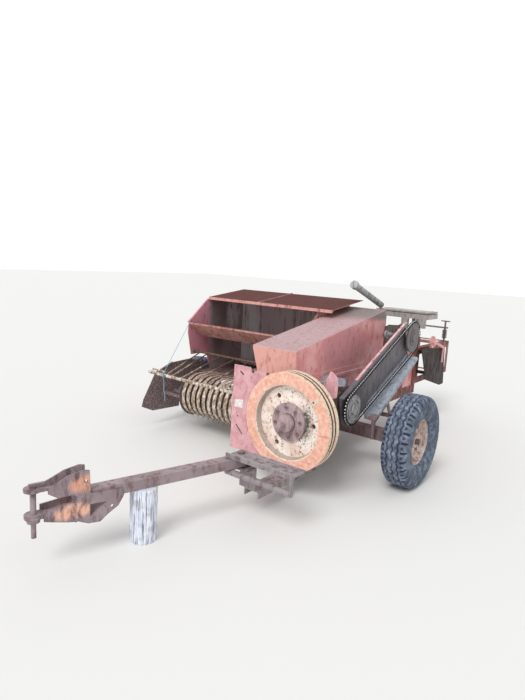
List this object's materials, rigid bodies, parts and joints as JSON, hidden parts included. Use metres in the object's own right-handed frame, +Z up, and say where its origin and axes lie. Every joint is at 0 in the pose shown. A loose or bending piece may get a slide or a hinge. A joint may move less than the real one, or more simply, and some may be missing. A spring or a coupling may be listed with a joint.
{
  "type": "square baler",
  "caption": "Old trailed small square baler with side pickup, front flywheel, wedge plunger hood, chain drive and offset drawbar resting on a log.",
  "frame": {"origin": "middle of the bounding box at ground level", "axes": "+X forward to the hitch, +Y to the machine's left, +Z up"},
  "size_m": [4.9972, 2.69, 1.4909],
  "materials": {
    "faded_red": "faded red paint with rust",
    "pink_red": "chalky pinkish red paint",
    "rust_brown": "dark rust",
    "dark_iron": "oily dark iron",
    "grey_steel": "weathered grey steel",
    "cream_paint": "worn cream paint with rust",
    "orange_rust": "light orange surface rust",
    "worn_tyre": "dusty worn rubber",
    "grey_wood": "weathered grey wood",
    "blue_twine": "blue polypropylene twine"
  },
  "bodies": {
    "machine": {"chamber_left_wall": "faded_red", "chamber_right_wall": "faded_red", "chamber_floor": "rust_brown", "chamber_roof": "rust_brown", "chamber_ribs": "faded_red", "tension_rails": "rust_brown", "tension_screws": "rust_brown", "main_frame": "faded_red", "front_panel": "pink_red", "plunger_hood": "faded_red", "gearbox": "dark_iron", "flywheel_spindle": "dark_iron", "axle_beam": "rust_brown", "feeder_floor": "rust_brown", "feeder_back_wall": "grey_steel", "feeder_top_hood": "faded_red", "feeder_tray": "faded_red", "feeder_right_end": "faded_red", "feeder_left_end": "faded_red", "pickup_brackets": "rust_brown", "windguard": "cream_paint", "windguard_twine": "blue_twine", "twine_tail": "blue_twine", "lower_sprocket": "grey_steel", "upper_sprocket": "grey_steel", "drive_chain": "grey_steel", "chain_guard": "pink_red", "chain_trough": "grey_steel", "knotter_frame": "dark_iron", "knotters": "dark_iron", "needle_drive": "faded_red", "twine_box": "grey_steel", "needle_yoke": "rust_brown", "rear_shield": "faded_red", "lever_tube": "rust_brown", "drawbar_carrier": "rust_brown", "guide_frame": "rust_brown", "drawbar_pivot_pin": "rust_brown", "support_log": "grey_wood"},
    "flywheel_body": {"flywheel": "orange_rust", "flywheel_hub": "rust_brown"},
    "left_wheel": {"left_rim": "cream_paint", "left_tyre": "worn_tyre"},
    "right_wheel": {"right_rim": "cream_paint", "right_tyre": "worn_tyre"},
    "pickup": {"pickup_frame": "rust_brown", "pickup_bands": "cream_paint", "crop_divider": "rust_brown"},
    "reel": {"pickup_reel": "rust_brown"},
    "tongue": {"drawbar": "rust_brown", "hitch_fork": "rust_brown", "hitch_pin": "rust_brown"},
    "twine_lid": {"twine_box_lid": "grey_steel"}
  },
  "joints": [
    {"name": "flywheel_spin", "type": "hinge", "parent": "machine", "child": "flywheel_body", "pos_m": [0.81141, 0.68, 0.534], "axis": [1, 0, 0], "continuous": true},
    {"name": "left_wheel_spin", "type": "hinge", "parent": "machine", "child": "left_wheel", "pos_m": [0.02141, 1.245, 0.35], "axis": [0, 1, 0], "continuous": true},
    {"name": "right_wheel_spin", "type": "hinge", "parent": "machine", "child": "right_wheel", "pos_m": [-0.24859, -1.26, 0.29], "axis": [0, 1, 0], "continuous": true},
    {"name": "tongue_swing", "type": "hinge", "parent": "machine", "child": "tongue", "pos_m": [1.25141, 0.614, 0.354], "axis": [0, 0, 1], "range_deg": [0, 50]},
    {"name": "pickup_lift", "type": "hinge", "parent": "machine", "child": "pickup", "pos_m": [-0.04859, -0.32, 0.42], "axis": [0, -1, 0], "range_deg": [0, 10]},
    {"name": "pickup_reel_spin", "type": "hinge", "parent": "pickup", "child": "reel", "pos_m": [0.20141, -0.32, 0.34], "axis": [0, 1, 0], "continuous": true},
    {"name": "twine_box_lid_hinge", "type": "hinge", "parent": "machine", "child": "twine_lid", "pos_m": [-1.61759, 0.68, 1.192], "axis": [0, -1, 0], "range_deg": [0, 80]}
  ]
}
